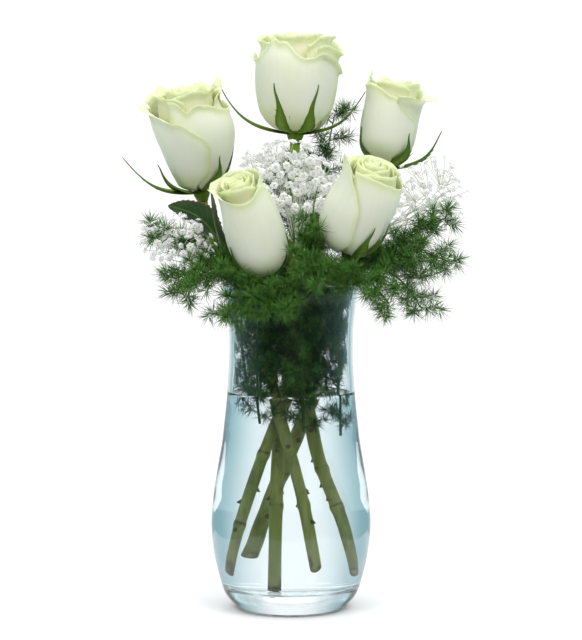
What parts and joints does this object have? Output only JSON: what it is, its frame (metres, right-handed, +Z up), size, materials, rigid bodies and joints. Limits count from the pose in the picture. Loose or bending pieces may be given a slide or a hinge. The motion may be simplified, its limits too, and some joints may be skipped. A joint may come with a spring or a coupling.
{
  "type": "roses in a vase",
  "caption": "Bouquet of half-open creamy white roses with fern, baby's breath and rose leaves, standing in a waisted clear glass vase part-filled with water.",
  "frame": {"origin": "centre of the vase's flat base, on the surface that it stands on", "axes": "+Z up along the vase's axis, -Y towards the side that the roses face, +X to the right seen from there"},
  "size_m": [0.2033, 0.1287, 0.351],
  "materials": {
    "glass": "polished",
    "water": "polished",
    "petal": "matte",
    "sepal": "satin",
    "stem": "satin",
    "leaf": "satin",
    "floret": "matte",
    "fern": "matte"
  },
  "bodies": {
    "root": {"vase": "glass", "water": "water", "rose_top_stem": "stem", "rose_top_calyx": "sepal", "rose_top_bud": "petal", "rose_top_petal_1": "petal", "rose_top_petal_2": "petal", "rose_top_petal_3": "petal", "rose_left_stem": "stem", "rose_left_calyx": "sepal", "rose_left_bud": "petal", "rose_left_petal_1": "petal", "rose_left_petal_2": "petal", "rose_left_petal_3": "petal", "rose_right_stem": "stem", "rose_right_calyx": "sepal", "rose_right_bud": "petal", "rose_right_petal_1": "petal", "rose_right_petal_2": "petal", "rose_right_petal_3": "petal", "rose_front_left_stem": "stem", "rose_front_left_calyx": "sepal", "rose_front_left_bud": "petal", "rose_front_left_petal_1": "petal", "rose_front_left_petal_2": "petal", "rose_front_left_petal_3": "petal", "rose_front_right_stem": "stem", "rose_front_right_calyx": "sepal", "rose_front_right_bud": "petal", "rose_front_right_petal_1": "petal", "rose_front_right_petal_2": "petal", "rose_front_right_petal_3": "petal", "rose_leaf_left": "leaf", "rose_leaf_upright": "leaf", "rose_leaf_back": "leaf", "gypsophila_centre": "floret", "gypsophila_left": "floret", "gypsophila_right": "floret", "gypsophila_back": "floret", "gypsophila_back_right": "floret", "fern_left": "fern", "fern_front_left": "fern", "fern_front": "fern", "fern_right_low": "fern", "fern_right_high": "fern", "fern_back_top": "fern", "fern_back_left": "fern", "fern_back_right": "fern"}
  },
  "joints": []
}
